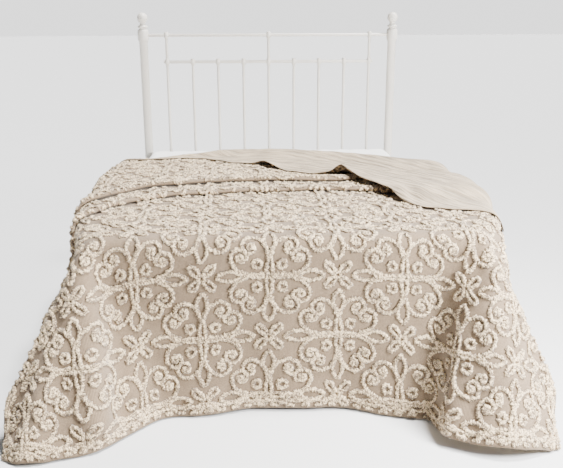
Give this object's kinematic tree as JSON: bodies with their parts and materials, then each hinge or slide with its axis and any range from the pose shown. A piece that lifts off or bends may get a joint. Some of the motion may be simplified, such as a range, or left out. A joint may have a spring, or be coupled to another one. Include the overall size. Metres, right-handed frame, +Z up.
{
  "type": "chenille bedspread on a bed",
  "caption": "Tufted chenille bedspread draped over a plain bed, its head end tucked across and partly turned back, with a tube headboard behind.",
  "frame": {"origin": "on the floor, at the middle of the whole object's floor area", "axes": "+Z up, +Y from the foot of the bed toward the headboard, +X across the bed"},
  "size_m": [2.0678, 2.5552, 1.562],
  "materials": {
    "chenille cotton": "tan cotton ground with raised ivory chenille lines",
    "white ticking": "plain woven mattress cover",
    "base cover": "plain woven cover",
    "frame paint": "satin",
    "ivory paint": "satin"
  },
  "bodies": {
    "root": {"bed_base": "base cover", "bedspread": "chenille cotton", "cross_rail_foot_left": "frame paint", "cross_rail_foot_right": "frame paint", "cross_rail_head_left": "frame paint", "cross_rail_head_right": "frame paint", "head_low_rail": "ivory paint", "head_post_left": "ivory paint", "head_post_right": "ivory paint", "head_second_rail": "ivory paint", "head_spindle_01": "ivory paint", "head_spindle_02": "ivory paint", "head_spindle_03": "ivory paint", "head_spindle_04": "ivory paint", "head_spindle_05": "ivory paint", "head_spindle_06": "ivory paint", "head_spindle_07": "ivory paint", "head_spindle_08": "ivory paint", "head_spindle_09": "ivory paint", "head_top_rail": "ivory paint", "head_upright_01": "ivory paint", "head_upright_05": "ivory paint", "head_upright_09": "ivory paint", "leg_foot_left": "frame paint", "leg_foot_middle": "frame paint", "leg_foot_right": "frame paint", "leg_head_left": "frame paint", "leg_head_middle": "frame paint", "leg_head_right": "frame paint", "mattress": "white ticking", "middle_rail": "frame paint", "side_rail_left": "frame paint", "side_rail_right": "frame paint"}
  },
  "joints": []
}
